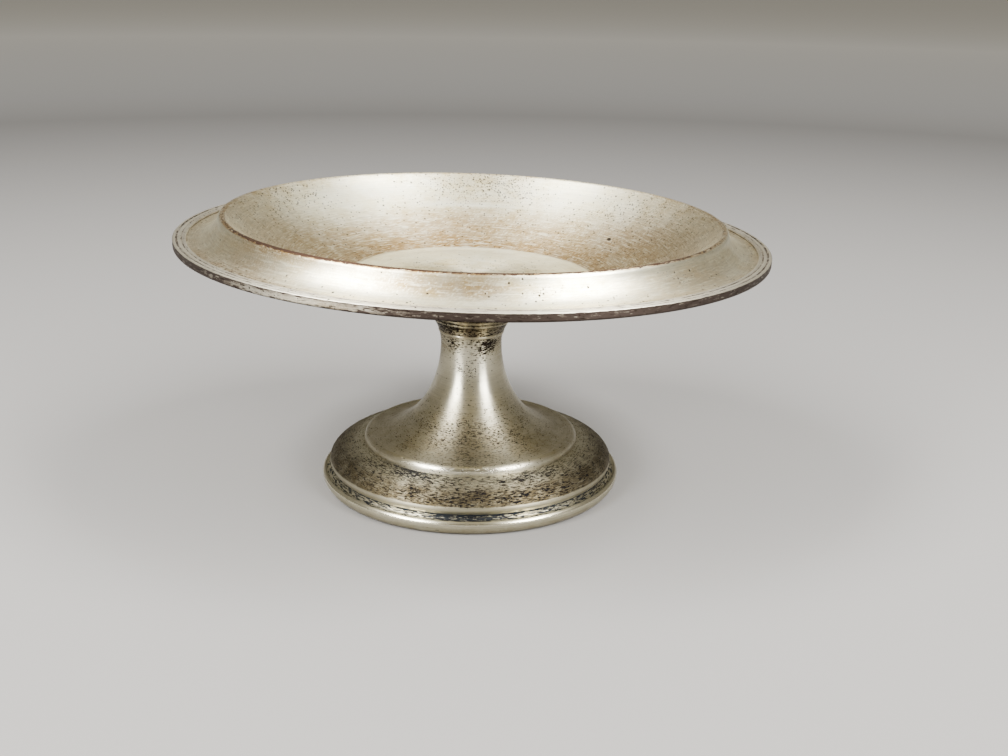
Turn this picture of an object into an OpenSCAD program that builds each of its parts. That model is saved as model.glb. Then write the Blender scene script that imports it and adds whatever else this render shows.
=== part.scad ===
// Footed compote dish of thin spun plate: a shallow dish with a raised ridge and a reeded border,
// soldered to a flared collar, a trumpet stem and a domed foot that is filled for weight.
// Millimetres, +Z up. The foot stands on Z = 0 and its axis is the Z axis.

/* [Dish] */
// Diameter over the rim border
rim_d = 203.2; // [178:0.2:222]
// Height of the ridge's crest above the table, with the dish level
crest_h = 97; // [92:0.5:120]
// Depth of the dish from the crest to the flat well
dish_depth = 21.4; // [17.4:0.2:28]
// Diameter of the flat well
well_d = 84; // [64:1:104]
// Distance from the rim's edge in to the crest of the ridge
flange_w = 16.3; // [15:0.1:22]
// Radius of the ridge's rounded top
crest_round = 1.6; // [1.3:0.1:2.6]
// Slope of the inner wall where it reaches the ridge, in degrees
wall_slope = 42; // [36:1:50]
// Drop from the crest to the flat brim
brim_drop = 8; // [6:0.1:8.8]
// Steepest slope of the hollow curve outside the ridge, in degrees
cavetto_slope = 76; // [74:1:86]
// Thickness of the dish's sheet
dish_sheet = 1; // [0.7:0.05:1.2]
// Lean of the dish out of level at the neck joint, in degrees
dish_lean = 1.4; // [0:0.1:3]

/* [Rim border] */
// Height of the border's outer edge, below its reeds
border_h = 2.6; // [2:0.1:4]
// Thickness of the border outside the end of the brim
border_edge = 2; // [1.4:0.1:3]
// Width of the border that laps over the brim
border_lap = 2.4; // [1.6:0.1:3.4]
// Thickness of the border where it lies on the brim, below its reeds
border_leaf = 0.6; // [0.4:0.05:1]
// Radius of the border's lower outer corner
border_round = 0.8; // [0.3:0.1:1.2]
// Number of reeds round the top of the border
reeds = 3; // [2:1:5]
// Height of each reed
reed_h = 0.3; // [0.15:0.05:0.4]
// Clearance between the brim's end and the border
border_fit = 0.05; // [0.02:0.01:0.15]

/* [Neck collar] */
// Diameter of the stem at its narrowest
neck_d = 21.6; // [19:0.2:26]
// Height of the dish's underside above the narrowest place
neck_h = 23.3; // [18:0.1:28]
// Height of the soldered seam above the narrowest place
seam_rise = 3.7; // [2.5:0.1:6]
// Radius of the flare above the narrowest place
flare_round = 14.5; // [11:0.5:16]
// Diameter of the collar where its cone meets the dish
collar_d = 58; // [52:0.5:70]
// Width of the turned-out edge soldered under the dish
collar_land = 2.5; // [1.5:0.1:4]
// Thickness of the collar's sheet
collar_sheet = 0.9; // [0.7:0.05:1.2]
// Radius of the bead over the seam
seam_bead = 0.5; // [0.3:0.05:0.7]
// Height of the lower collar ring above the seam
collar_ring_rise = 5; // [3.5:0.1:6]
// Distance between the two collar rings
collar_ring_step = 1.7; // [1.2:0.1:2.4]
// Radius of each collar ring
collar_ring = 0.45; // [0.3:0.05:0.6]
// Length of the spigot inside the stem
spigot_l = 4.5; // [3:0.1:5.5]
// Wall of the spigot
spigot_wall = 0.8; // [0.6:0.05:1.2]
// Clearance round the spigot
spigot_fit = 0.35; // [0.3:0.05:0.6]

/* [Stem] */
// Diameter over the trumpet's turned-down edge
flare_d = 76.8; // [70:0.2:80]
// Height of that edge above its seat on the foot
edge_h = 3.2; // [2.7:0.1:5]
// Radius of the turn from the flare down to the edge
edge_round = 2.2; // [1.6:0.1:2.6]
// Thickness of the stem's sheet
stem_sheet = 0.8; // [0.6:0.05:1.2]

/* [Foot dome] */
// Height of the seat under the trumpet's edge
seat_h = 15.2; // [13:0.1:18]
// Width of the seat left showing outside the trumpet's edge
step_w = 0.5; // [0.3:0.1:1.5]
// Width of the seat under the trumpet
seat_lap = 5; // [3:0.1:8]
// Height of the bead's widest place
bead_h = 8.4; // [7.4:0.1:9.4]
// Radius of the bead where it turns in
bead_round = 2.8; // [2:0.1:3.2]
// Distance that the skirt lies inside the bead
bead_tuck = 1; // [0.8:0.05:1.2]
// Horizontal radius of the dome's curve
dome_curve = 15; // [13.6:0.1:22]
// Thickness of the dome's sheet
dome_sheet = 0.8; // [0.6:0.05:1.05]

/* [Foot ring] */
// Outside diameter of the face that the foot stands on
stand_d = 101.2; // [90:0.2:112]
// Distance that the ring swells out past that face
ring_swell = 3.1; // [2:0.1:5]
// Width of the ring from its bore to its widest place
ring_w = 3.75; // [3:0.05:5]
// Width of the lip that holds the base plate, inside the bore
lip_w = 2.45; // [1.5:0.05:6]
// Thickness of that lip
lip_h = 1; // [0.6:0.1:1.4]
// Height of the ring's top edge
ring_h = 5.1; // [4.6:0.1:5.6]
// Width and height of the bevel round the ring's top edge
ring_bevel = 0.9; // [0.5:0.1:1.2]
// Distance that the bevel bulges out
bevel_sag = 0.08; // [0.04:0.01:0.2]
// Depth of the hollow in the ring's top face
cove_sag = 0.6; // [0.3:0.05:0.8]
// Clearance between the dome's skirt and the ring
ring_fit = 0.05; // [0.02:0.01:0.15]

/* [Filling and base] */
// Thickness of the base plate
plate_t = 0.8; // [0.6:0.1:1.2]
// Clearance round the base plate
plate_fit = 0.1; // [0.05:0.05:0.3]
// Diameter of the reinforcing rod
rod_d = 5; // [4:0.5:8]
// Diameter of the rod's forged head
rod_head_d = 14; // [9:0.5:20]
// Thickness of that head
rod_head_h = 2; // [1:0.1:4]
// Depth of filling over the top of the rod
rod_cover = 5; // [3:0.5:10]
// Shrinkage gap between the filling and what it was poured against
fill_gap = 0.1; // [0.05:0.05:0.2]
// Distance that the stem's filling stops short of the spigot
fill_short = 1; // [0.8:0.1:3]

/* [Hidden] */
$fn = 128;
// Straight pieces in each arc of a profile
arc_steps = 12;
// Length that a cut piece is made too long before it is cut
cut_room = 0.5;

// Radii and heights that several pieces share
rim_r = rim_d / 2;
crest_r = rim_r - flange_w;
well_r = well_d / 2;
well_h = crest_h - dish_depth;
under_h = well_h - dish_sheet;
brim_h = crest_h - brim_drop;
brim_r = rim_r - border_edge;
neck_r = neck_d / 2;
waist_h = under_h - neck_h;
seam_h = waist_h + seam_rise;
flare_r = flare_d / 2;
stand_r = stand_d / 2;
foot_r = stand_r + ring_swell;
bore_r = foot_r - ring_w;
skirt_r = bore_r - ring_fit;
bead_r = skirt_r + bead_tuck;
plate_top = lip_h + plate_t;
spigot_r = neck_r - stem_sheet - spigot_fit;
seat_r = flare_r - seat_lap;
fill_h = seam_h - spigot_l - fill_short;

// Points on an oval of half-widths w and h about c, from angle a to angle b
function oval(c, w, h, a, b) =
    [for (i = [0:arc_steps]) let (t = a + (b - a) * i / arc_steps) c + [w * cos(t), h * sin(t)]];
function arc(c, r, a, b) = oval(c, r, r, a, b);

// Arc from p to q that sags by s: to the right of the way from p to q, or to the left where s < 0
function bow(p, q, s) =
    let (
        way = (q - p) / norm(q - p),
        half = norm(q - p) / 2,
        r = (half * half + s * s) / (2 * abs(s)),
        c = (p + q) / 2 + (r - abs(s)) * sign(s) * [-way[1], way[0]],
        a = atan2(p[1] - c[1], p[0] - c[0]),
        turn = 2 * asin(half / r) * sign(s)
    ) arc(c, r, a, a + turn);

// A path without points that repeat the one before
function clean(p) = [for (i = [0:len(p) - 1]) if (i == 0 || norm(p[i] - p[i - 1]) > 0.001) p[i]];
function reversed(p) = [for (i = [len(p) - 1:-1:0]) p[i]];
function left_of(a, b) = [a[1] - b[1], b[0] - a[0]] / norm(b - a);

// The path moved to its left by t, mitred at each point
function inset(p, t) =
    [for (i = [0:len(p) - 1])
        let (
            j = max(i, 1),
            k = min(i + 1, len(p) - 1),
            m = left_of(p[j - 1], p[j]),
            n = left_of(p[k - 1], p[k])
        ) p[i] + (m + n) * t / (1 + m * n)];

// Outline of a sheet of thickness t whose outer face is the path
function sheet(p, t) = concat(p, reversed(inset(p, t)));

// Radius of a rising path at height h
function radius_at(p, h) = lookup(h, [for (q = p) [q[1], q[0]]]);

module turned(outline) {
    rotate_extrude() polygon(outline);
}

// The dish, its border and the collar lean together about the middle of the seam
module leaned() {
    translate([0, 0, seam_h]) rotate([0, dish_lean, 0]) translate([0, 0, -seam_h]) children();
}

// Upper face of the dish from the brim's end, over the ridge, to the middle of the well
cavetto_r = brim_drop / (1 - cos(cavetto_slope)) - crest_round;
crest_c = [crest_r, crest_h - crest_round];
cavetto_c = [crest_r + (crest_round + cavetto_r) * sin(cavetto_slope), brim_h + cavetto_r];
wall_top = crest_c + crest_round * [-sin(wall_slope), cos(wall_slope)];
well_edge = [well_r, well_h];
wall_chord = norm(wall_top - well_edge);
wall_mean = atan2(wall_top[1] - well_edge[1], wall_top[0] - well_edge[0]);
wall_sag = wall_chord / 2 * tan((wall_slope - wall_mean) / 2);
dish_path = clean(concat(
    [[brim_r, brim_h]],
    arc(cavetto_c, cavetto_r, 270, 270 - cavetto_slope),
    arc(crest_c, crest_round, 90 - cavetto_slope, 90 + wall_slope),
    bow(wall_top, well_edge, -wall_sag),
    [[0, well_h]]
));

module dish() {
    color("#b8ad98") leaned() turned(sheet(dish_path, dish_sheet));
}

// Border: a leaf on the brim and a thick edge outside it, reeded on top
border_in = brim_r - border_lap;
border_top = brim_h + border_leaf;
border_foot = border_top - border_h;
reed_w = (rim_r - border_in) / reeds;
border_outline = clean(concat(
    [[border_in, brim_h], [brim_r + border_fit, brim_h], [brim_r + border_fit, border_foot]],
    arc([rim_r - border_round, border_foot + border_round], border_round, -90, 0),
    [for (i = [0:reeds - 1])
        each bow([rim_r - i * reed_w, border_top], [rim_r - (i + 1) * reed_w, border_top], reed_h)]
));

module rim_border() {
    color("#8d8474") leaned() turned(border_outline);
}

// Collar: the flare above the neck runs on from the seam, then a tangent cone up to the dish
flare_c = [neck_r + flare_round, waist_h];
cone_top = [collar_d / 2, under_h - collar_sheet];
cone_start = atan2(cone_top[1] - flare_c[1], cone_top[0] - flare_c[0])
    + acos(flare_round / norm(cone_top - flare_c));
seam_angle = 180 - asin(seam_rise / flare_round);
collar_wall = concat(arc(flare_c, flare_round, seam_angle, cone_start), [cone_top]);
collar_path = concat(collar_wall, [cone_top + [collar_land, 0]]);
shoulder_h = seam_h + collar_sheet;
collar_inside = inset(collar_path, collar_sheet);
collar_outline = concat(
    collar_path,
    reversed([for (q = collar_inside) if (q[1] > shoulder_h) q]),
    [[radius_at(inset(collar_wall, collar_sheet), shoulder_h), shoulder_h],
     [spigot_r - spigot_wall, shoulder_h], [spigot_r - spigot_wall, seam_h - spigot_l],
     [spigot_r, seam_h - spigot_l], [spigot_r, seam_h]]
);

// A half-sunk ring round the collar at height h
module collar_bead(h, r) {
    rotate_extrude() translate([radius_at(collar_wall, h) - r / 2, h]) circle(r);
}

module neck_collar() {
    color("#9a8c6c") leaned() {
        turned(collar_outline);
        collar_bead(seam_h + seam_bead, seam_bead);
        for (i = [0, 1]) collar_bead(seam_h + collar_ring_rise + i * collar_ring_step, collar_ring);
    }
}

// Stem: the turned-down edge, a quarter oval from there to the neck, then the flare up to the seam
trim = (neck_r + flare_round) * tan(dish_lean) + cut_room;
flare_foot = [flare_r - edge_round, seat_h + edge_h];
stem_path = clean(concat(
    [[flare_r, seat_h]],
    arc(flare_foot - [0, edge_round], edge_round, 0, 90),
    oval([flare_foot[0], waist_h], flare_foot[0] - neck_r, waist_h - flare_foot[1], 270, 180),
    arc(flare_c, flare_round, 180, 180 - asin((seam_rise + trim) / flare_round))
));

module stem_trumpet() {
    color("#a39a84") difference() {
        turned(sheet(stem_path, stem_sheet));
        leaned() translate([0, 0, seam_h]) cylinder(h = flare_round, r = flare_r);
    }
}

// Foot dome: the skirt inside the ring, the bead, the dome and the seat under the stem
tuck_angle = acos(1 - bead_tuck / bead_round);
dome_c = [bead_r - dome_curve, bead_h];
step_r = flare_r + step_w;
dome_end = acos((step_r - dome_c[0]) / dome_curve);
dome_path = clean(concat(
    [[skirt_r, plate_top]],
    arc([bead_r - bead_round, bead_h], bead_round, -tuck_angle, 0),
    oval(dome_c, dome_curve, (seat_h - bead_h) / sin(dome_end), 0, dome_end),
    [[seat_r, seat_h]]
));

module foot_dome() {
    color("#9c9178") turned(sheet(dome_path, dome_sheet));
}

// Foot ring: a rounded moulding with a bevel and a hollow on top, and a lip below that holds the base plate
lip_r = bore_r - lip_w;
wide_h = ring_h - ring_bevel;
ring_edge = [foot_r - ring_bevel, ring_h];
ring_outline = clean(concat(
    [[lip_r, 0]],
    oval([stand_r, wide_h], ring_swell, wide_h, -90, 0),
    bow([foot_r, wide_h], ring_edge, bevel_sag),
    bow(ring_edge, [bore_r, ring_h], -cove_sag),
    [[bore_r, lip_h], [lip_r, lip_h]]
));

module foot_ring() {
    color("#b5ae9c") turned(ring_outline);
}

// Filling: poured against the dome, the stem and the collar, round the rod
stem_liner = inset(stem_path, stem_sheet + fill_gap);
collar_liner = inset(collar_wall, collar_sheet + fill_gap);
fill_outline = concat(
    [[0, plate_top]],
    inset(dome_path, dome_sheet + fill_gap),
    [[seat_r - fill_gap, seat_h - dome_sheet - fill_gap], [seat_r - fill_gap, seat_h + fill_gap]],
    [[stem_liner[0][0], seat_h + fill_gap]],
    [for (q = stem_liner) if (q[1] > seat_h + fill_gap && q[1] < fill_h) q],
    [[radius_at(stem_liner, fill_h), fill_h], [0, fill_h]]
);
core_r = spigot_r - spigot_wall - fill_gap;
core_shoulder = shoulder_h + fill_gap;
core_top = under_h - fill_gap;
core_outline = concat(
    [[0, fill_h - spigot_l], [core_r, fill_h - spigot_l], [core_r, core_shoulder]],
    [[radius_at(collar_liner, core_shoulder), core_shoulder]],
    [for (q = collar_liner) if (q[1] > core_shoulder && q[1] < core_top) q],
    [[radius_at(collar_liner, core_top), core_top], [0, core_top]]
);

// The headed rod that stands on the base plate, made larger all round by the gap
module rod_shape(gap) {
    translate([0, 0, plate_top - gap]) {
        cylinder(h = rod_head_h + 2 * gap, d = rod_head_d + 2 * gap);
        cylinder(h = under_h - rod_cover - plate_top + 2 * gap, d = rod_d + 2 * gap);
    }
}

module weighting_fill() {
    color("#8f8a80") difference() {
        union() {
            turned(fill_outline);
            leaned() turned(core_outline);
        }
        rod_shape(fill_gap);
    }
}

module reinforcing_rod() {
    color("#6f7276") rod_shape(0);
}

module base_plate() {
    color("#8b867c") translate([0, 0, lip_h]) cylinder(h = plate_t, r = bore_r - plate_fit);
}

dish();
rim_border();
neck_collar();
stem_trumpet();
foot_dome();
foot_ring();
weighting_fill();
reinforcing_rod();
base_plate();
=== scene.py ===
"""A footed compote dish of aged, spun silver plate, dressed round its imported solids.

Lengths are millimetres and angles degrees; turned() puts them into the meshes in metres. Each piece
is a profile of radius and height, carried round the foot's axis. The dish, its border and the collar
lean a little at the neck, as the solids do. The camera looks along +Y, with +X to the right.
"""
import math

import bpy
import numpy as np
from mathutils import Matrix, Vector


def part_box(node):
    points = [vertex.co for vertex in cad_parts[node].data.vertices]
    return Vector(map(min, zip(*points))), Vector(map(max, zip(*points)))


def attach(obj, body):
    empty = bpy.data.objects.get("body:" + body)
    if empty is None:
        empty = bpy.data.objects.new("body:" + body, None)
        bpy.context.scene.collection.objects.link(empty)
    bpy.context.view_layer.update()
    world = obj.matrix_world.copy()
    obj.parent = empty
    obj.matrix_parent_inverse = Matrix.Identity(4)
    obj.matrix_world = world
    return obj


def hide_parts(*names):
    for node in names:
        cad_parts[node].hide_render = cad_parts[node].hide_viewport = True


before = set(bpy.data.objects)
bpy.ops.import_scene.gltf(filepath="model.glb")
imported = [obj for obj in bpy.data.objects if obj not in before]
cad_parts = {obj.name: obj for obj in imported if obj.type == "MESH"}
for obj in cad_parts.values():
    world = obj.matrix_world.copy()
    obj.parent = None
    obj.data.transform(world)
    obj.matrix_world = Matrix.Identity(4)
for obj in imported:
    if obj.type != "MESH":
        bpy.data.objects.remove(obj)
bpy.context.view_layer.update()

MM = 0.001
# Places nearer than this are one place
SAME = 0.001

# Profiles


def oval(centre, wide, high, start, end, steps=20):
    """Points on an oval of half-widths wide and high about centre, from angle start to angle end."""
    t = np.radians(np.linspace(start, end, steps + 1))
    return np.stack([centre[0] + wide * np.cos(t), centre[1] + high * np.sin(t)], 1)


def arc(centre, radius, start, end, steps=20):
    """Points on a circle about centre, from angle start to angle end."""
    return oval(centre, radius, radius, start, end, steps)


def bow(p, q, sag, steps=20):
    """Circular arc from p to q that stands sag to the right of the straight way, or left if negative."""
    p, q = np.array(p, float), np.array(q, float)
    half = np.linalg.norm(q - p) / 2
    way = (q - p) / (2 * half)
    radius = (half * half + sag * sag) / (2 * abs(sag))
    centre = (p + q) / 2 + (radius - abs(sag)) * np.sign(sag) * np.array([-way[1], way[0]])
    start = math.degrees(math.atan2(p[1] - centre[1], p[0] - centre[0]))
    turn = 2 * math.degrees(math.asin(half / radius)) * np.sign(sag)
    return arc(centre, radius, start, start + turn, steps)


def joined(*paths):
    """The paths one after another, without points that repeat the one before."""
    points = np.concatenate([np.reshape(p, (-1, 2)) for p in paths]).astype(float)
    far = np.linalg.norm(np.diff(points, axis=0), axis=1) > SAME
    return points[np.concatenate([[True], far])]


def dense(path, step):
    """The path with its long stretches divided, so that no two points are more than step apart."""
    counts = np.ceil(np.linalg.norm(np.diff(path, axis=0), axis=1) / step).astype(int)
    parts = [np.linspace(p, q, n, endpoint=False) for p, q, n in zip(path, path[1:], counts)]
    return np.concatenate(parts + [path[-1:]])


def inset(path, depth):
    """The path moved to its left by depth, mitred at each point."""
    way = np.diff(path, axis=0)
    left = np.stack([-way[:, 1], way[:, 0]], 1) / np.linalg.norm(way, axis=1, keepdims=True)
    before = np.concatenate([left[:1], left])
    after = np.concatenate([left, left[-1:]])
    return path + (before + after) * depth / (1 + (before * after).sum(1, keepdims=True))


# Turned pieces

SEAM_H = 55.0
LEAN = 1.4
UV_SPAN = 100.0
SHARP_EDGE = 35.0
TARNISH, BRIGHT, BROWN, STAIN = range(4)


def leaned(points, share):
    """Points turned about the Y axis through the middle of the seam, by share of the dish's lean."""
    a = np.radians(LEAN) * share
    x, y, z = points[..., 0], points[..., 1], points[..., 2] - SEAM_H
    return np.stack([x * np.cos(a) + z * np.sin(a), y, SEAM_H + z * np.cos(a) - x * np.sin(a)], -1)


def worn_by(rows, stops):
    """Tarnish, rubbed bright, brown and stain of each row, between the stops (row, and those four)."""
    at = np.array(stops, float)
    return np.stack([np.interp(rows, at[:, 0], at[:, k]) for k in range(1, 5)], 1)


def patched(wear, rows, radius, angle, patches):
    """Wear of each point, some of it painted light and shade: that of its row, and round each patch its
    amount times exp(-gap squared).

    A patch is (kind of wear, bearing, row, length along the turning, width across it, amount)."""
    worn = np.repeat(wear[:, None, :], len(angle), axis=1)
    for kind, bearing, row, length, width, amount in patches:
        aside = (angle - np.radians(bearing) + np.pi) % (2 * np.pi) - np.pi
        gap_squared = (radius * aside / length) ** 2 + ((rows[:, None] - row) / width) ** 2
        worn[..., kind] += amount * np.exp(-gap_squared)
    return np.clip(worn, 0, 1)


def wrapped(way, count, turns, on_axis):
    """Faces between neighbouring rows and turns: four corners, their UV, and which of them are kept.

    U is the way along the profile and V the share of a turn. A row on the axis is one point, so the
    faces there keep three corners. Without such rows, the last row joins the first."""
    i = np.arange(count - 1 if on_axis else count)[:, None]
    j = np.arange(turns)[None, :]
    below, above, after = i * turns, (i + 1) % count * turns, (j + 1) % turns
    corners = np.broadcast_arrays(below + j, below + after, above + after, above + j)
    faces = np.stack(corners, -1).reshape(-1, 4)
    u0, u1, v0, v1 = way[i] / UV_SPAN, way[i + 1] / UV_SPAN, j / turns, (j + 1) / turns
    ends = [np.stack(np.broadcast_arrays(u, v), -1) for u, v in ((u0, v0), (u0, v1), (u1, v1), (u1, v0))]
    uv = np.stack(ends, -2).reshape(-1, 4, 2)
    keep = np.ones(faces.shape, bool)
    if on_axis:
        faces[:turns, :2] = 0
        faces[-turns:, 2:] = (count - 1) * turns
        keep[:turns, 1] = False
        keep[-turns:, 3] = False
    return faces, uv, keep


def turned(name, node, profile, rows, wear, turns=360, lean=0.0, patches=()):
    """A profile of radius r and height h carried once round the axis: x = r cos t, y = r sin t, z = h.

    The profile runs counter-clockwise, as a closed loop or from the axis back to the axis. lean is each
    point's share of the dish's lean. The mesh keeps two attributes for its finish: spun is (x, y, way
    along the profile) in metres, and wear is how tarnished, how rubbed bright, how brown and how stained
    each point is, in places as painted light and shade. rows numbers the points of the profile, for the wear
    and its patches."""
    on_axis = bool(profile[0, 0] < SAME and profile[-1, 0] < SAME)
    steps = np.linalg.norm(np.diff(profile, axis=0, append=profile[:1]), axis=1)
    way = np.concatenate([[0], np.cumsum(steps)])
    count = len(profile)
    angle = np.linspace(0, 2 * np.pi, turns, endpoint=False)
    r, h = profile[:, :1], profile[:, 1:]
    flat = np.stack([r * np.cos(angle), r * np.sin(angle), h + 0 * angle], -1)
    points = leaned(flat, np.reshape(lean, (-1, 1)))
    spun = flat.copy()
    spun[..., 2] = way[:count, None]
    worn = patched(wear, rows, r, angle, patches)
    faces, uv, keep = wrapped(way, count, turns, on_axis)
    corner_count = keep.sum(1)
    used, index = np.unique(faces[keep], return_inverse=True)
    mesh = bpy.data.meshes.new(name)
    mesh.vertices.add(len(used))
    mesh.vertices.foreach_set("co", (points.reshape(-1, 3)[used] * MM).ravel())
    mesh.loops.add(len(index))
    mesh.loops.foreach_set("vertex_index", index.ravel().astype(np.int32))
    mesh.polygons.add(len(faces))
    mesh.polygons.foreach_set("loop_start", (np.cumsum(corner_count) - corner_count).astype(np.int32))
    mesh.update(calc_edges=True)
    mesh.uv_layers.new(name="along").data.foreach_set("uv", uv[keep].ravel())
    made = mesh.attributes.new("spun", "FLOAT_VECTOR", "POINT")
    made.data.foreach_set("vector", (spun.reshape(-1, 3)[used] * MM).astype(np.float32).ravel())
    made = mesh.attributes.new("wear", "FLOAT_COLOR", "POINT")
    made.data.foreach_set("color", worn.reshape(-1, 4)[used].astype(np.float32).ravel())
    mesh.polygons.foreach_set("use_smooth", np.ones(len(faces), bool))
    mesh.set_sharp_from_angle(angle=math.radians(SHARP_EDGE))
    piece = bpy.data.objects.new(name, mesh)
    bpy.context.scene.collection.objects.link(piece)
    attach(piece, "root")
    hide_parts(node)
    return piece


# Dish: one spun sheet with a flat well, a hollow wall, a round ridge, a hollow flange and a flat brim

border_low, border_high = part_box("rim_border")
RIM_R = (border_high.y - border_low.y) / 2 / MM
CREST_R = 85.3
CREST_H = 97.0
CREST_ROUND = 1.6
WALL_SLOPE = 42.0
WELL_R = 42.0
WELL_H = 75.6
WELL_EDGE = 0.5
BRIM_R = 99.6
BRIM_H = 89.0
CAVETTO_SLOPE = 76.0
DISH_SHEET = 1.0
DISH_STEP = 1.2
UNDERSIDE = -50.0

crest = np.array([CREST_R, CREST_H - CREST_ROUND])
cavetto_r = (CREST_H - BRIM_H) / (1 - math.cos(math.radians(CAVETTO_SLOPE))) - CREST_ROUND
cavetto_reach = (CREST_ROUND + cavetto_r) * math.sin(math.radians(CAVETTO_SLOPE))
cavetto = np.array([CREST_R + cavetto_reach, BRIM_H + cavetto_r])
wall_top = arc(crest, CREST_ROUND, 90 + WALL_SLOPE, 90 + WALL_SLOPE, 1)[0]
wall_chord = wall_top - (WELL_R, WELL_H)
wall_mean = math.atan2(wall_chord[1], wall_chord[0])
wall_sag = np.linalg.norm(wall_chord) / 2 * math.tan((math.radians(WALL_SLOPE) - wall_mean) / 2)
dish_face = dense(joined(
    (BRIM_R, BRIM_H),
    arc(cavetto, cavetto_r, 270, 270 - CAVETTO_SLOPE, 28),
    arc(crest, CREST_ROUND, 90 - CAVETTO_SLOPE, 90 + WALL_SLOPE, 22),
    bow(wall_top, (WELL_R, WELL_H), -wall_sag, 40),
    (WELL_R - WELL_EDGE, WELL_H),
    (0, WELL_H),
), DISH_STEP)
dish_under = inset(dish_face, DISH_SHEET)[::-1]
dish_under[0, 0] = 0
dish_profile = np.concatenate([dish_under, dish_face])
# Rows are radii on the upper face, and one number for the whole underside
dish_rows = np.concatenate([np.full(len(dish_under), UNDERSIDE), dish_face[:, 0]])
dish_wear_and_painted_light = worn_by(dish_rows, (
    (UNDERSIDE, 0.3, 0.3, 0.25, 0.0), (-1, 0.3, 0.3, 0.25, 0.0),
    # Well, pale and glossy towards its edge: a painted highlight
    (0, 0.45, 0.1, 0.35, 0.0), (20, 0.45, 0.1, 0.25, 0.0), (29, 0.25, 0.5, 0.0, 0.0),
    (42.5, 0.0, 0.6, 0.0, 0.0),
    # Wall, brown at its foot
    (43.1, 0.35, 0.0, 1.0, 0.1), (47, 0.35, 0.0, 1.0, 0.1), (53, 0.3, 0.05, 0.8, 0.05),
    (62, 0.3, 0.1, 0.55, 0.0), (70, 0.35, 0.25, 0.35, 0.0), (79, 0.42, 0.3, 0.25, 0.0),
    (82.5, 0.45, 0.2, 0.35, 0.0),
    # Ridge, with a dark line painted as the crest's reflection of a dark background, and a rubbed one below
    # it
    (84.2, 0.4, 0.2, 0.45, 0.1), (84.6, 0.3, 0.1, 0.65, 0.32), (86.0, 0.3, 0.1, 0.65, 0.34),
    (86.3, 0.2, 0.4, 0.5, 0.15), (86.6, 0.0, 1.0, 0.1, 0.0),
    # Flange and brim
    (87.5, 0.15, 0.4, 0.3, 0.0), (92, 0.2, 0.4, 0.3, 0.0), (95, 0.4, 0.3, 0.6, 0.0),
    (97.5, 0.5, 0.2, 0.7, 0.1),
))
dish_patches = (
    # Well
    (BROWN, 103, 36, 5, 3, 0.6), (BROWN, 74, 35, 7, 4, 0.4), (BROWN, 120, 37, 6, 3, 0.4),
    # Wall: brown at both sides and low down at the back, with a pale line across the back that is a painted
    # reflection of the near rim
    (BROWN, 180, 71, 40, 14, 0.5), (BROWN, 8, 71, 46, 14, 0.7), (BROWN, 103, 51, 8, 4, 0.4),
    (BROWN, 90, 62, 34, 8, 0.2), (BROWN, 90, 65, 30, 7, 0.1), (STAIN, 90, 47, 45, 5, 0.15),
    (BRIGHT, 91, 71, 22, 0.9, 0.9), (BROWN, 91, 71, 22, 0.9, -0.5),
    # Wall: specks high up, and pale, glossy places between them; the two highest, at the back left and back
    # right, are painted highlights where the side lamps reflect
    (TARNISH, 150, 80, 18, 5, 0.3), (TARNISH, 88, 78.5, 22, 6.5, 0.75), (TARNISH, 38, 77, 30, 9, 0.3),
    (BRIGHT, 143, 75, 16, 8, 0.4), (BROWN, 143, 75, 16, 8, -0.25),
    (BRIGHT, 121, 79, 18, 6, 0.5), (TARNISH, 121, 79, 18, 6, -0.35), (BROWN, 121, 78, 20, 8, -0.3),
    (BRIGHT, 58, 81, 18, 6, 0.5), (TARNISH, 58, 81, 18, 6, -0.35), (BROWN, 58, 80, 20, 8, -0.3),
    # Ridge: the painted dark reflection along the crest is stronger in front, most of all at the front left
    (STAIN, -92, 85.4, 80, 0.9, 0.36), (BROWN, -92, 85.4, 85, 0.9, 0.4),
    (STAIN, -131, 86.0, 32, 1.2, 0.36), (BROWN, -131, 86.2, 34, 0.9, 0.8),
    (BRIGHT, -131, 86.4, 34, 0.9, -0.9),
    # Flange: an olive middle in front, darkened above and rubbed pale below as painted reflections, with
    # specks to its right
    (STAIN, -93, 88.6, 16, 1.8, 0.2), (BROWN, -100, 88.8, 16, 2.8, 0.35), (BROWN, -89, 89.0, 9, 2.6, 0.4),
    (BRIGHT, -95, 89.2, 18, 2.6, -0.4), (BRIGHT, -94, 87.0, 20, 1.6, -1.0), (BROWN, -94, 87.2, 20, 1.4, 0.2),
    (BRIGHT, -91, 93.5, 30, 3, 0.4), (BROWN, -91, 93.5, 30, 3, -0.2),
    (TARNISH, -80, 88.6, 12, 2.0, 0.5), (STAIN, -76, 88.4, 12, 1.6, 0.3),
    # Flange and brim: brown at the front right and front left
    (STAIN, -46, 89, 14, 3.0, 0.34), (BROWN, -42, 90, 26, 5, 0.5),
    (BROWN, -152, 91, 36, 5, 0.3), (BROWN, -138, 90, 16, 4, 0.55), (BROWN, -140, 96, 26, 2.6, 0.6),
    (STAIN, -140, 95, 24, 2.6, 0.4), (TARNISH, -139, 95, 24, 2.6, 0.3), (TARNISH, -138, 96, 22, 2.2, 0.6),
)
dish = turned(
    "dish_spun", "dish", dish_profile, dish_rows, dish_wear_and_painted_light, lean=1.0,
    patches=dish_patches,
)

# Rim border: a reeded moulding soldered over the brim's edge

BORDER_IN = 97.2
BORDER_TOP = 89.6
BORDER_FOOT = 87.0
BORDER_ROUND = 0.8
BORDER_BORE = 99.65
BORDER_STEP = 0.4
REEDS = 3
REED_H = 0.3

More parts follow.
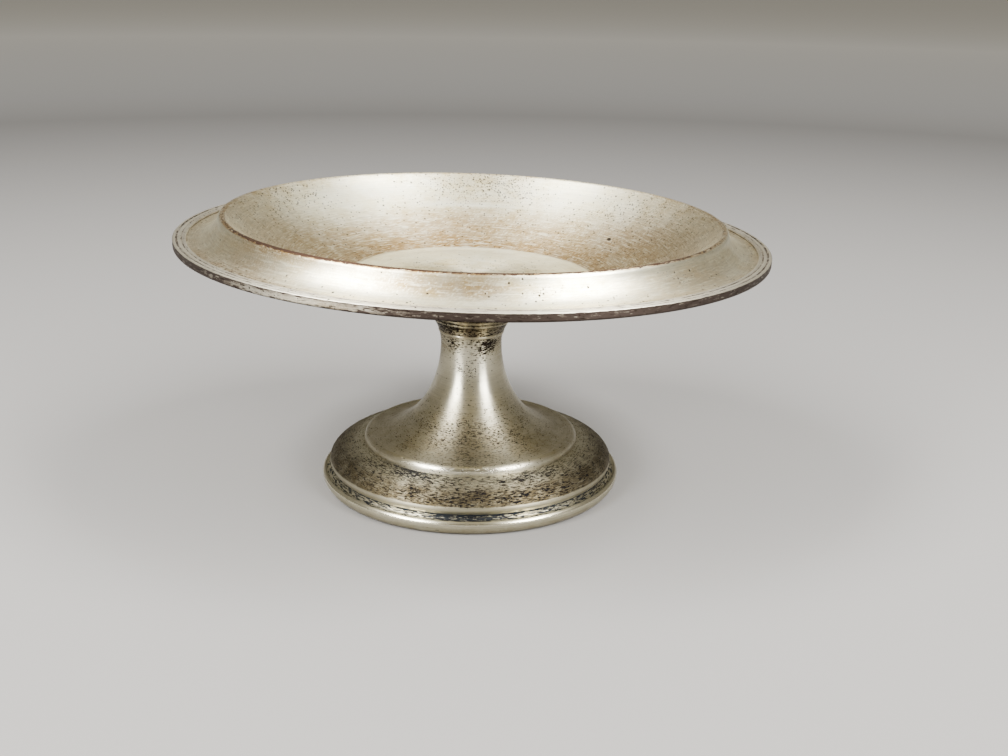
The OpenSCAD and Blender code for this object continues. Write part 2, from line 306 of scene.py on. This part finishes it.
reed_w = (RIM_R - BORDER_IN) / REEDS
reed_tops = [
    bow((RIM_R - i * reed_w, BORDER_TOP), (RIM_R - (i + 1) * reed_w, BORDER_TOP), REED_H, 12)
    for i in range(REEDS)
]
border_profile = dense(joined(
    (BORDER_IN, BRIM_H), (BORDER_BORE, BRIM_H), (BORDER_BORE, BORDER_FOOT),
    arc((RIM_R - BORDER_ROUND, BORDER_FOOT + BORDER_ROUND), BORDER_ROUND, -90, 0, 10), *reed_tops,
), BORDER_STEP)
# Rows are heights up the edge, and run on inwards over the reeds
below_reeds = border_profile[:, 1] < BORDER_TOP - SAME
border_rows = border_profile[:, 1] + np.where(below_reeds, 0, RIM_R - border_profile[:, 0])
border_wear = worn_by(border_rows - BORDER_TOP, (
    # Edge, dark all the way up
    (BORDER_FOOT - BORDER_TOP, 0.5, 0.0, 1.0, 0.8), (-2.0, 0.5, 0.0, 1.0, 0.62),
    (-0.3, 0.5, 0.0, 1.0, 0.56), (0.0, 0.4, 0.1, 0.8, 0.8),
    # Reeds, rubbed on top, with dark lines between them
    (0.25, 0.1, 0.9, 0.15, 0.2), (0.4, 0.05, 1.0, 0.05, 0.0), (1.1, 0.05, 1.0, 0.05, 0.0),
    (1.25, 0.4, 0.1, 0.6, 0.5), (1.75, 0.4, 0.1, 0.6, 0.5),
    (1.95, 0.2, 0.6, 0.4, 0.1), (2.8, 0.2, 0.6, 0.45, 0.1),
    (2.95, 0.4, 0.1, 0.6, 0.48), (3.35, 0.4, 0.1, 0.6, 0.48),
    (3.5, 0.3, 0.4, 0.6, 0.1), (4.4, 0.3, 0.4, 0.6, 0.1), (4.6, 0.5, 0.1, 0.8, 0.7),
))
border = turned(
    "rim_border_reeded", "rim_border", border_profile, border_rows, border_wear,
    turns=480, lean=1.0, patches=((BROWN, -120, 88.2, 26, 1.2, -0.5), (STAIN, -120, 88.4, 26, 1.0, -0.5)),
)

# Neck collar: the flare above the seam, a cone up to the dish, a bead on the seam and two fine rings

NECK_R = 10.8
NECK_H = 51.3
FLARE_ROUND = 14.5
COLLAR_R = 29.0
COLLAR_TOP = 73.7
COLLAR_LAND = 2.5
COLLAR_LIP = 0.3
COLLAR_SHEET = 0.9
COLLAR_STEP = 0.09
COLLAR_RING = 0.45
COLLAR_RINGS = (60.0, 61.7)
SEAM_BEAD = 0.5
SPIGOT_R = 9.65
SPIGOT_BORE = 8.85
SPIGOT_FOOT = 50.5

flare = np.array([NECK_R + FLARE_ROUND, NECK_H])
cone = np.array([COLLAR_R, COLLAR_TOP]) - flare
cone_start = math.degrees(math.atan2(cone[1], cone[0]) + math.acos(FLARE_ROUND / np.linalg.norm(cone)))
seam_angle = 180 - math.degrees(math.asin((SEAM_H - NECK_H) / FLARE_ROUND))
collar_wall = dense(
    joined(arc(flare, FLARE_ROUND, seam_angle, cone_start, 30), (COLLAR_R, COLLAR_TOP)), COLLAR_STEP)


def ringed(path, height, radius):
    """The path with a low round ring on it: it stands out by the half chord of a half-sunk circle."""
    rise = np.sqrt(np.maximum(radius ** 2 - (path[:, 1] - height) ** 2, 0)) - radius / 2
    return path + np.stack([np.maximum(rise, 0), 0 * rise], 1)


collar_face = ringed(collar_wall, SEAM_H + SEAM_BEAD, SEAM_BEAD)
for ring_h in COLLAR_RINGS:
    collar_face = ringed(collar_face, ring_h, COLLAR_RING)
collar_back = inset(collar_wall, COLLAR_SHEET)
shoulder_h = SEAM_H + COLLAR_SHEET
# The back is out of sight, so it keeps every sixth point
collar_profile = joined(
    collar_face, (COLLAR_R + COLLAR_LAND, COLLAR_TOP), (COLLAR_R + COLLAR_LAND, COLLAR_TOP + COLLAR_SHEET),
    (collar_back[-1, 0] - COLLAR_LIP, COLLAR_TOP + COLLAR_SHEET),
    collar_back[collar_back[:, 1] > shoulder_h][::-6], (SPIGOT_BORE, shoulder_h), (SPIGOT_BORE, SPIGOT_FOOT),
    (SPIGOT_R, SPIGOT_FOOT), (SPIGOT_R, SEAM_H),
)
collar_rows = collar_profile[:, 1]
collar_wear = worn_by(collar_rows, (
    # Bead on the seam
    (55.0, 0.5, 0.3, 0.3, 0.3), (55.4, 0.2, 0.5, 0.3, 0.1), (55.9, 0.3, 0.4, 0.4, 0.1),
    # Flare, with the two rings rubbed
    (56.2, 0.6, 0.1, 0.8, 0.5), (57.5, 0.7, 0.1, 0.9, 0.25), (59.4, 0.7, 0.0, 0.95, 0.4),
    (60.0, 0.3, 0.5, 0.5, 0.0), (60.7, 0.8, 0.1, 0.8, 0.4), (61.7, 0.3, 0.5, 0.5, 0.0),
    # Cone
    (62.4, 0.8, 0.0, 0.9, 0.45), (74.6, 0.5, 0.2, 0.6, 0.2),
))
collar_patches = (
    (BROWN, -90, 58.5, 6, 3, 0.4), (TARNISH, -130, 60, 6, 4, 0.4),
    # Pale, glossy places at the front left and front right: painted highlights where the lamps reflect
    (BRIGHT, -113, 58.0, 3.0, 4.5, 0.4), (BROWN, -113, 58.0, 3.0, 4.5, -0.4),
    (BRIGHT, -66, 58.5, 3.0, 4.5, 0.4), (BROWN, -66, 58.5, 3.0, 4.5, -0.4),
)
collar = turned(
    "neck_collar_spun", "neck_collar", collar_profile, collar_rows, collar_wear,
    turns=256, lean=1.0, patches=collar_patches,
)

# Stem: a trumpet from its edge on the foot up to the seam, where its end follows the dish's lean

FLARE_R = 38.4
EDGE_H = 3.2
EDGE_ROUND = 2.2
STEM_SHEET = 0.8
SEAT_H = 15.2

flare_h = SEAT_H + EDGE_H
turn_r = FLARE_R - EDGE_ROUND
stem_wall = joined(
    (FLARE_R, SEAT_H), arc((turn_r, flare_h - EDGE_ROUND), EDGE_ROUND, 0, 90, 14),
    oval((turn_r, NECK_H), turn_r - NECK_R, NECK_H - flare_h, 270, 180, 110),
    arc(flare, FLARE_ROUND, 180, seam_angle, 12),
)
# The back keeps every second point
stem_profile = joined(stem_wall, inset(stem_wall, STEM_SHEET)[::-2], (FLARE_R - STEM_SHEET, SEAT_H))
stem_rows = stem_profile[:, 1]
stem_lean = np.clip((stem_rows - NECK_H) / (SEAM_H - NECK_H), 0, 1)
stem_wear_and_painted_shade = worn_by(stem_rows, (
    # Edge on the foot, brown all round as painted shade that dims its highlights at the sides
    (15.2, 0.4, 0.2, 0.8, 0.1), (16.0, 0.3, 0.2, 0.8, 0.0), (17.9, 0.3, 0.2, 0.8, 0.0),
    # Trumpet, brown below and rubbed above
    (18.4, 0.35, 0.2, 0.8, 0.0), (19.2, 0.35, 0.1, 0.8, 0.0), (24.0, 0.35, 0.1, 0.8, 0.0),
    (30.0, 0.3, 0.2, 0.6, 0.0), (36.0, 0.25, 0.5, 0.25, 0.0), (42.0, 0.15, 0.7, 0.15, 0.0),
    (48.0, 0.25, 0.7, 0.15, 0.0),
    # Under the seam
    (51.0, 0.5, 0.4, 0.35, 0.0), (54.2, 0.68, 0.2, 0.5, 0.1), (55.2, 0.7, 0.1, 0.5, 0.4),
))
stem_patches = (
    # Dark places under the seam, and spots below them
    (TARNISH, -58, 52.2, 4.0, 2.4, 0.6), (STAIN, -57, 52.8, 3.6, 1.8, 0.62),
    (TARNISH, -124, 51.8, 3.2, 2.4, 0.35), (TARNISH, -66, 48.0, 3.0, 3.0, 0.35),
    (TARNISH, -117, 46.6, 1.2, 1.0, 0.8), (TARNISH, -111, 44.0, 2.0, 1.4, 0.5),
    # Specks between the highlights and over the front of the flare
    (TARNISH, -92, 43.0, 3.0, 6.0, 0.5), (TARNISH, -90, 23.0, 25, 7.0, 0.42),
    # The edge's front made pale and glossy: a painted highlight
    (BRIGHT, -91, 16.8, 26, 1.5, 0.8), (BROWN, -91, 16.8, 26, 1.5, -0.8),
    # Both sides: dull and brown at the neck as painted shade, and paler on the flare as painted light
    (BRIGHT, 180, 48, 8, 7, -0.6), (BROWN, 180, 48, 8, 7, 0.7),
    (BRIGHT, 0, 48, 8, 7, -0.6), (BROWN, 0, 48, 8, 7, 0.7),
    (BROWN, 192, 24.0, 16, 6.0, -0.35), (BROWN, -12, 24.0, 16, 6.0, -0.35),
)
stem = turned(
    "stem_trumpet_spun", "stem_trumpet", stem_profile, stem_rows, stem_wear_and_painted_shade,
    turns=288, lean=stem_lean, patches=stem_patches,
)

# Foot dome: skirt, bead and dome, with the seat under the stem

BEAD_R = 50.9
BEAD_H = 8.4
BEAD_ROUND = 2.8
BEAD_TUCK = 1.0
DOME_CURVE = 15.0
DOME_SHEET = 0.8
DOME_STEP = 0.5
SEAT_LAP = 5.0
STEP_W = 0.5
PLATE_TOP = 1.8

tuck = math.degrees(math.acos(1 - BEAD_TUCK / BEAD_ROUND))
dome_end = math.degrees(math.acos((FLARE_R + STEP_W - BEAD_R + DOME_CURVE) / DOME_CURVE))
dome_rise = (SEAT_H - BEAD_H) / math.sin(math.radians(dome_end))
dome_face = dense(joined(
    (BEAD_R - BEAD_TUCK, PLATE_TOP),
    arc((BEAD_R - BEAD_ROUND, BEAD_H), BEAD_ROUND, -tuck, 0, 12),
    oval((BEAD_R - DOME_CURVE, BEAD_H), DOME_CURVE, dome_rise, 0, dome_end, 60),
    (FLARE_R - SEAT_LAP, SEAT_H),
), DOME_STEP)
# The back keeps every third point, and the one at the skirt's foot
dome_back = inset(dome_face, DOME_SHEET)
dome_profile = joined(dome_face, dome_back[::-3], dome_back[:1])
dome_rows = dome_profile[:, 1]
dome_wear = worn_by(dome_rows, (
    # Skirt, stained in the groove above the ring
    (1.8, 0.5, 0.5, 0.1, 0.43), (5.6, 0.5, 0.5, 0.05, 0.43), (6.1, 0.5, 0.4, 0.1, 0.7),
    (6.35, 0.4, 0.4, 0.1, 0.65),
    # Bead, rubbed bright
    (6.6, 0.15, 0.9, 0.05, 0.0), (8.4, 0.05, 0.9, 0.1, 0.0), (8.9, 0.15, 0.7, 0.3, 0.0),
    # Dome, brown and specked, cleaner at the top
    (9.3, 0.5, 0.0, 0.9, 0.0), (11.0, 0.54, 0.0, 1.0, 0.0), (13.0, 0.54, 0.0, 0.95, 0.0),
    (14.3, 0.52, 0.15, 0.6, 0.0), (15.0, 0.5, 0.6, 0.15, 0.0), (15.2, 0.5, 0.5, 0.15, 0.2),
))
dome_patches = (
    # Stains beside the stem's edge, at the front left and front right
    (TARNISH, -120, 14.8, 17, 0.7, 0.4), (STAIN, -120, 14.9, 15, 0.5, 0.5),
    (TARNISH, -62, 14.8, 16, 0.7, 0.35), (STAIN, -62, 14.9, 12, 0.4, 0.35),
    # More specks in front, and more stain in the groove
    (TARNISH, -92, 12.0, 40, 2.6, 0.22), (TARNISH, -72, 11.0, 34, 2.5, 0.12),
    (STAIN, -91, 5.0, 12, 2.0, 0.16),
    # The bead's far side and sides are painted dull and brown: painted shade over their reflections
    (BRIGHT, 90, 8.0, 105, 2.0, -0.9), (BROWN, 90, 8.0, 105, 2.0, 0.8),
)
dome = turned(
    "foot_dome_spun", "foot_dome", dome_profile, dome_rows, dome_wear, turns=400,
    patches=dome_patches,
)

# Foot ring: a rounded moulding with a bevel and a hollow on top, and the lip that holds the base plate

FOOT_R = 53.7
STAND_R = 50.6
RING_BORE = 49.95
RING_H = 5.1
RING_BEVEL = 0.9
RING_STEP = 0.35
BEVEL_SAG = 0.08
# The edge between side and bevel is softened: the side ends early, and the bevel starts further in and up
SIDE_END = -5.0
SOFT_IN, SOFT_UP = 0.105, 0.15
COVE_SAG = 0.6
LIP_R = 47.5
LIP_H = 1.0
IN_BORE = 9.0

wide_h = RING_H - RING_BEVEL
ring_profile = dense(joined(
    (LIP_R, 0), oval((STAND_R, wide_h), FOOT_R - STAND_R, wide_h, -90, SIDE_END, 30),
    bow((FOOT_R - SOFT_IN, wide_h + SOFT_UP), (FOOT_R - RING_BEVEL, RING_H), BEVEL_SAG, 8),
    bow((FOOT_R - RING_BEVEL, RING_H), (RING_BORE, RING_H), -COVE_SAG, 16),
    (RING_BORE, LIP_H), (LIP_R, LIP_H),
), RING_STEP)
# Rows run up the outside by height, on over the bevel and the hollow by radius, and end inside the bore
over = np.where(ring_profile[:, 1] > wide_h, wide_h + FOOT_R - ring_profile[:, 0], ring_profile[:, 1])
ring_rows = np.where(ring_profile[:, 0] < RING_BORE + SAME, IN_BORE, over)
ring_wear = worn_by(ring_rows, (
    # Side, rubbed at its widest
    (0.0, 0.4, 0.1, 0.8, 0.3), (0.6, 0.25, 0.2, 0.8, 0.0), (2.5, 0.2, 0.3, 0.6, 0.0),
    (3.6, 0.12, 0.8, 0.15, 0.0), (4.1, 0.05, 1.0, 0.0, 0.0), (4.4, 0.0, 1.0, 0.0, 0.0),
    # Bevel
    (4.6, 0.1, 0.7, 0.15, 0.0), (5.2, 0.2, 0.7, 0.15, 0.0),
    # Hollow, stained
    (5.7, 0.5, 0.4, 0.1, 0.35), (6.3, 0.5, 0.5, 0.0, 0.43), (7.95, 0.5, 0.5, 0.0, 0.46),
    (IN_BORE, 0.6, 0.1, 0.3, 0.6),
))
ring = turned(
    "foot_ring_moulded", "foot_ring", ring_profile, ring_rows, ring_wear, turns=400,
    patches=((STAIN, -91, 7.0, 12, 1.5, 0.16),),
)

# Materials

FACTOR, FIRST, SECOND, MIXED = 0, 6, 7, 2
PER_M = 1000.0


def linear(colour):
    """Linear RGBA of an sRGB hex colour such as #c8bda6."""
    part = np.array([int(colour[k:k + 2], 16) / 255 for k in (1, 3, 5)])
    part = np.where(part <= 0.04045, part / 12.92, ((part + 0.055) / 1.055) ** 2.4)
    return (*part.tolist(), 1.0)


def add(tree, kind, inputs, **settings):
    """Adds a shader node: settings are its own properties, inputs are its sockets' values or links."""
    made = tree.nodes.new("ShaderNode" + kind)
    for title, value in settings.items():
        setattr(made, title, value)
    for socket, value in inputs.items():
        if isinstance(value, bpy.types.NodeSocket):
            tree.links.new(value, made.inputs[socket])
        else:
            made.inputs[socket].default_value = value
    return made.outputs


def reckon(tree, operation, *values, clamp=False):
    """The values put together by a Math node."""
    return add(tree, "Math", dict(enumerate(values)), operation=operation, use_clamp=clamp)[0]


def ramp(tree, value, low, high, first=0.0, last=1.0):
    """The value carried from the range low to high into the range first to last, and held at its ends."""
    return add(tree, "MapRange", {0: value, 1: low, 2: high, 3: first, 4: last})[0]


def blend(tree, factor, first, second):
    """The first colour where the factor is 0, and the second where it is 1."""
    return add(tree, "Mix", {FACTOR: factor, FIRST: first, SECOND: second}, data_type="RGBA")[MIXED]


def noise(tree, vector, scale, detail, rough):
    """Soft random values between 0 and 1, with scale swells to one unit of the vector."""
    return add(tree, "TexNoise", {"Vector": vector, "Scale": scale, "Detail": detail, "Roughness": rough})[0]


def stretched(tree, spun, length, width):
    """The spun place counted in lengths along the turning and in widths across it."""
    per_unit = (PER_M / length, PER_M / length, PER_M / width)
    return add(tree, "VectorMath", {0: spun, 1: per_unit}, operation="MULTIPLY")[0]


def blank(name):
    """A new material with an empty node tree, and the tree."""
    material = bpy.data.materials.new(name)
    material.use_nodes = True
    material.node_tree.nodes.clear()
    return material, material.node_tree


# Sizes of the marks that all the plated pieces share
CLOUD, PATCH = 18.0, 5.0
LINE_LENGTH, LINE_GAP = 30.0, 0.35
STROKE_LENGTH, STROKE_WIDTH = 6.0, 0.5
SLANT, SLANT_LENGTH = 42.0, 3.0
RELIEF = 0.04


def dashes(tree, along, density, amount):
    """Tarnish left in the spinning lines as short dashes, the more of it the higher the density."""
    low = reckon(tree, "MULTIPLY_ADD", density, -amount, 0.74)
    high = reckon(tree, "ADD", low, 0.05)
    return ramp(tree, noise(tree, along, 1.0, 2.5, 0.6), low, high)


def blotches(tree, along, stained):
    """Stains in broken blotches along the lines, which close up where the wear says more."""
    low = reckon(tree, "MULTIPLY_ADD", stained, -0.75, 0.82)
    high = reckon(tree, "ADD", low, 0.06)
    return ramp(tree, noise(tree, along, 0.85, 3.0, 0.6), low, high)


def dots(tree, place, density, spacing, amount, widest):
    """Tarnish dots in some of the cells of a random net, the more of them the higher the density."""
    cells = add(tree, "TexVoronoi", {"Vector": place, "Scale": PER_M / spacing})
    chance, size, _ = add(tree, "SeparateXYZ", {0: cells["Color"]})
    limit = reckon(tree, "MULTIPLY", reckon(tree, "POWER", density, 2.0), amount)
    there = reckon(tree, "LESS_THAN", chance, limit)
    reach = ramp(tree, size, 0.0, 1.0, 0.4 * widest, widest)
    core = reckon(tree, "MULTIPLY", reach, 0.6)
    return reckon(tree, "MULTIPLY", ramp(tree, cells["Distance"], core, reach, 1.0, 0.0), there)


def pitted(tree, place, centre, radius):
    """A round pit: 1 in its middle, and 0 from its radius on."""
    metres = tuple(x * MM for x in centre)
    gap = add(tree, "VectorMath", {0: place, 1: metres}, operation="DISTANCE")["Value"]
    return ramp(tree, gap, radius * MM * 0.7, radius * MM, 1.0, 0.0)


def strokes(tree, place, spun):
    """Highest and lowest of two sets of strokes from use, along the turning and slanted across it.

    Real scratches are too fine to show, so these are drawn coarser."""
    around = stretched(tree, spun, STROKE_LENGTH, STROKE_WIDTH)
    slanted = add(tree, "Mapping", {
        "Vector": place, "Rotation": (0.0, 0.0, math.radians(SLANT)),
        "Scale": (SLANT_LENGTH * MM, STROKE_WIDTH * MM, STROKE_WIDTH * MM)}, vector_type="TEXTURE")[0]
    sets = [noise(tree, way, 1.0, 1.0, 0.5) for way in (around, slanted)]
    return reckon(tree, "MAXIMUM", *sets), reckon(tree, "MINIMUM", *sets)


def silver_plate(name, tones, dash, dot, scratch, gloss, brushed, pits=()):
    """Aged silver plate, spun on a lathe and rubbed for years.

    The eye sees soft highlights drawn out across the spinning lines, a pale metal clouded with warm and
    brown tones, dark tarnish left as short dashes in those lines and as dots, and fine pale scratches.
    tones are the pale, warm, brown, stained and tarnished colours. dash is a dash's length, width and
    amount, dot the dots' spacing, amount and widest reach, scratch the amount of scratches, and gloss the
    roughness where dull and where rubbed. A pit is a place and a size. Sizes are millimetres."""
    pale, warm, brown, stain, tarnish = (linear(tone) for tone in tones)
    material, tree = blank(name)
    place = add(tree, "TexCoord", {})["Object"]
    spun = add(tree, "Attribute", {}, attribute_name="spun")["Vector"]
    wear = add(tree, "Attribute", {}, attribute_name="wear")
    tarnished, rubbed, browned = add(tree, "SeparateXYZ", {0: wear["Vector"]})
    # Clouds tint the metal, and patches gather the tarnish
    cloud = noise(tree, place, PER_M / CLOUD, 4.0, 0.6)
    patch = noise(tree, place, PER_M / PATCH, 3.0, 0.6)
    uneven = ramp(tree, patch, 0.3, 0.7, 0.8, 1.15)
    density = reckon(tree, "MULTIPLY", tarnished, uneven)
    # Tarnish and stains
    along = stretched(tree, spun, dash[0], dash[1])
    staining = blotches(tree, along, wear["Alpha"])
    dark = reckon(tree, "MAXIMUM", dashes(tree, along, density, dash[2]), dots(tree, place, density, *dot))
    for centre, radius in pits:
        dark = reckon(tree, "MAXIMUM", dark, pitted(tree, place, centre, radius))
    # Spinning lines, drawn coarser than the real ones, and scratches: bright, or dark with tarnish
    lines = noise(tree, stretched(tree, spun, LINE_LENGTH, LINE_GAP), 1.0, 2.0, 0.7)
    highest, lowest = strokes(tree, place, spun)
    scored = ramp(tree, highest, 0.58, 0.7, 0.0, scratch)
    grimy = reckon(tree, "MULTIPLY", ramp(tree, lowest, 0.33, 0.42, 0.7 * scratch, 0.0), browned)
    dark = reckon(tree, "MAXIMUM", dark, grimy)
    # Colour: warm in the clouds, brown by the wear, pale where rubbed or scratched, dark in the tarnish
    warmth = ramp(tree, reckon(tree, "ADD", cloud, patch), 0.8, 1.25)
    metal = blend(tree, warmth, pale, warm)
    metal = blend(tree, reckon(tree, "MULTIPLY", browned, uneven, clamp=True), metal, brown)
    metal = blend(tree, reckon(tree, "MULTIPLY", rubbed, 0.75), metal, pale)
    streak = ramp(tree, lines, 0.3, 0.7, 0.85, 1.08)
    metal = add(tree, "VectorMath", {0: metal, "Scale": streak}, operation="SCALE")[0]
    metal = blend(tree, scored, metal, pale)
    metal = blend(tree, staining, metal, stain)
    colour = blend(tree, dark, metal, tarnish)
    # Gloss: smoother where rubbed, dull in the tarnish and the stains
    dull = ramp(tree, rubbed, 0.0, 1.0, gloss[0], gloss[1])
    dull = reckon(tree, "MULTIPLY_ADD", patch, 0.12, dull)
    foul = reckon(tree, "MAXIMUM", dark, staining)
    dull = reckon(tree, "MULTIPLY_ADD", foul, 0.2, dull, clamp=True)
    # Relief: tarnish lies lower, scratches are cut in, spinning lines are fine ridges
    relief = reckon(tree, "MULTIPLY_ADD", dark, -1.0, lines)
    relief = reckon(tree, "MULTIPLY_ADD", scored, -0.8, relief)
    bumps = add(tree, "Bump", {"Height": relief, "Strength": 0.5, "Distance": RELIEF * MM})[0]
    tangent = add(tree, "Tangent", {}, direction_type="UV_MAP", uv_map="along")[0]
    shader = add(tree, "BsdfPrincipled", {
        "Base Color": colour, "Metallic": 1.0, "Roughness": dull, "Normal": bumps, "Tangent": tangent,
        "Anisotropic": brushed})[0]
    add(tree, "OutputMaterial", {"Surface": shader})
    return material


def on_dish(bearing, radius):
    """Place on the dish's upper face at a bearing and a radius."""
    inward = dish_face[::-1]
    height = np.interp(radius, inward[:, 0], inward[:, 1])
    b = math.radians(bearing)
    return leaned(np.array([radius * math.cos(b), radius * math.sin(b), height]), 1.0).tolist()


dish.data.materials.append(silver_plate(
    "silver_plate_spun_dish", ("#f4f0d6", "#c8ba84", "#927546", "#3d2c22", "#2b231c"),
    dash=(1.2, 0.5, 0.14), dot=(0.95, 1.3, 0.55), scratch=0.5, gloss=(0.38, 0.24), brushed=0.6, pits=(
        (on_dish(35.4, 62.4), 1.0), (on_dish(34.6, 62.0), 0.8), (on_dish(119.9, 71.4), 0.5),
        (on_dish(107.7, 63.3), 0.5), (on_dish(-115.7, 92.7), 0.5), (on_dish(-42.0, 87.8), 0.5),
    )))
border.data.materials.append(silver_plate(
    "silver_plate_tarnished_border", ("#e6dfca", "#b8a888", "#494039", "#352d28", "#241d18"),
    dash=(2.6, 0.5, 0.34), dot=(0.9, 0.5, 0.5), scratch=0.15, gloss=(0.42, 0.3), brushed=0.5))
collar.data.materials.append(silver_plate(
    "silver_plate_worn_collar", ("#cfc8b0", "#a39470", "#5f513a", "#261e18", "#181311"),
    dash=(1.3, 0.4, 0.32), dot=(0.8, 0.9, 0.5), scratch=0.3, gloss=(0.34, 0.2), brushed=0.7))
stem.data.materials.append(silver_plate(
    "silver_plate_spun_stem", ("#d8d3bf", "#beb596", "#8b7f61", "#201a1d", "#241e19"),
    dash=(1.15, 0.34, 0.31), dot=(0.8, 0.9, 0.45), scratch=0.2, gloss=(0.36, 0.17), brushed=0.8))
dome.data.materials.append(silver_plate(
    "silver_plate_spun_foot", ("#c0baa2", "#958b6d", "#5a503a", "#25282c", "#1e1c1c"),
    dash=(1.7, 0.26, 0.34), dot=(0.8, 0.7, 0.45), scratch=0.2, gloss=(0.58, 0.2), brushed=0.75))
ring.data.materials.append(silver_plate(
    "silver_plate_rubbed_ring", ("#ccc6ae", "#aba283", "#6f6448", "#2c2e30", "#1c1b1e"),
    dash=(2.4, 0.45, 0.32), dot=(0.8, 0.2, 0.4), scratch=0.2, gloss=(0.36, 0.2), brushed=0.6))


def plain_finish(name, light, dark, grain, metallic, rough):
    """A hidden piece's finish: two tones of one stuff, mottled at the grain's size in millimetres."""
    material, tree = blank(name)
    place = add(tree, "TexCoord", {})["Object"]
    mottle = noise(tree, place, PER_M / grain, 5.0, 0.65)
    colour = blend(tree, ramp(tree, mottle, 0.3, 0.7), linear(light), linear(dark))
    gloss = ramp(tree, mottle, 0.3, 0.7, rough - 0.08, rough + 0.08)
    bumps = add(tree, "Bump", {"Height": mottle, "Strength": 0.4, "Distance": 0.05 * MM})[0]
    shader = add(tree, "BsdfPrincipled", {
        "Base Color": colour, "Metallic": metallic, "Roughness": gloss, "Normal": bumps})[0]
    add(tree, "OutputMaterial", {"Surface": shader})
    return material


for node, finish in (
    ("base_plate", plain_finish("rolled_plated_sheet", "#9d937e", "#6f6656", 6.0, 1.0, 0.42)),
    ("weighting_fill", plain_finish("poured_cement", "#a39d92", "#7c766c", 2.5, 0.0, 0.9)),
    ("reinforcing_rod", plain_finish("drawn_steel", "#8b8d90", "#5f6164", 1.5, 1.0, 0.45)),
):
    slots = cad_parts[node].data.materials
    slots.clear()
    slots.append(finish)

# Stage: a pale floor, a leaning soft box at each side, a weak one behind and an even grey room

FLOOR_HALF = 8000.0
FLOOR_TONE, FAR_TONE = "#64625f", "#e7e5e1"
LIT_REACH, FAR_REACH = 1100.0, 2550.0
ROOM_TONE = "#e2dccc"
ROOM_LIGHT = 0.4
AIM_H = 60.0
LAMP_FAR = 1000.0
SIDE_WIDTH, SIDE_WATTS = 300.0, 52.0
BACK_WIDTH, BACK_WATTS = 900.0, 5.0

floor_half = FLOOR_HALF * MM
floor_corners = [(x * floor_half, y * floor_half, 0) for x, y in ((-1, -1), (1, -1), (1, 1), (-1, 1))]
floor_mesh = bpy.data.meshes.new("floor")
floor_mesh.from_pydata(floor_corners, [], [(0, 1, 2, 3)])
floor = bpy.data.objects.new("floor", floor_mesh)
bpy.context.scene.collection.objects.link(floor)
# The paper is paler where the lamps don't reach, which weakens the dark band between floor and room
paper, paper_tree = blank("matt_pale_paper")
paper_place = add(paper_tree, "TexCoord", {})["Object"]
paper_far = add(paper_tree, "VectorMath", {0: paper_place}, operation="LENGTH")["Value"]
paper_fade = ramp(paper_tree, paper_far, LIT_REACH * MM, FAR_REACH * MM)
paper_tone = blend(paper_tree, paper_fade, linear(FLOOR_TONE), linear(FAR_TONE))
paper_shader = add(paper_tree, "BsdfPrincipled", {"Base Color": paper_tone, "Roughness": 0.9})[0]
add(paper_tree, "OutputMaterial", {"Surface": paper_shader})
floor_mesh.materials.append(paper)

room = bpy.data.worlds.new("room")
room.use_nodes = True
backdrop = room.node_tree.nodes["Background"].inputs
backdrop["Color"].default_value = linear(ROOM_TONE)
backdrop["Strength"].default_value = ROOM_LIGHT
bpy.context.scene.world = room


def towards(bearing, height):
    """Unit direction from the dish: bearing is from the camera's side round to +X, height above the floor."""
    b, e = math.radians(bearing), math.radians(height)
    return Vector((math.sin(b) * math.cos(e), -math.cos(b) * math.cos(e), math.sin(e)))


def soft_box(name, low, high, width, watts):
    """A long lamp that faces the dish and reaches from one direction to another (bearing, height)."""
    away = LAMP_FAR * MM
    first, last = towards(*low) * away, towards(*high) * away
    facing, along = (first + last).normalized(), (last - first).normalized()
    lamp = bpy.data.lights.new(name, "AREA")
    lamp.shape = "RECTANGLE"
    lamp.size, lamp.size_y = width * MM, (last - first).length
    lamp.energy = watts
    holder = bpy.data.objects.new(name, lamp)
    turn = Matrix((along.cross(facing), along, facing)).transposed().to_4x4()
    holder.matrix_world = Matrix.Translation(Vector((0, 0, AIM_H * MM)) + (first + last) / 2) @ turn
    bpy.context.scene.collection.objects.link(holder)


soft_box("soft_box_left", (-40, 15), (-92, 66), SIDE_WIDTH, SIDE_WATTS)
soft_box("soft_box_right", (40, 15), (92, 66), SIDE_WIDTH, SIDE_WATTS)
soft_box("soft_box_behind", (180, 40), (180, 88), BACK_WIDTH, BACK_WATTS)

# Camera: fitted to the circles of the rim, ridge, well and foot

FRAME_W = 1008
FOCUS_PX = 1279.5
SENSOR = 36.0
EYE = (0.0, -436.7, 182.6)
PITCH, YAW, ROLL = math.radians(18.38), math.radians(1.558), math.radians(0.9)
NEAREST, FARTHEST = 10.0, 50000.0

forward = Vector((math.sin(YAW) * math.cos(PITCH), math.cos(YAW) * math.cos(PITCH), -math.sin(PITCH)))
level = Vector((math.cos(YAW), -math.sin(YAW), 0))
upright = level.cross(forward)
across = math.cos(ROLL) * level + math.sin(ROLL) * upright
upward = -math.sin(ROLL) * level + math.cos(ROLL) * upright
camera_turn = Matrix((across, upward, -forward)).transposed().to_4x4()
lens = bpy.data.cameras.new("camera")
lens.sensor_width = SENSOR
lens.lens = FOCUS_PX / FRAME_W * SENSOR
lens.clip_start, lens.clip_end = NEAREST * MM, FARTHEST * MM
camera = bpy.data.objects.new("camera", lens)
camera.matrix_world = Matrix.Translation(Vector(EYE) * MM) @ camera_turn
bpy.context.scene.collection.objects.link(camera)
bpy.context.scene.camera = camera
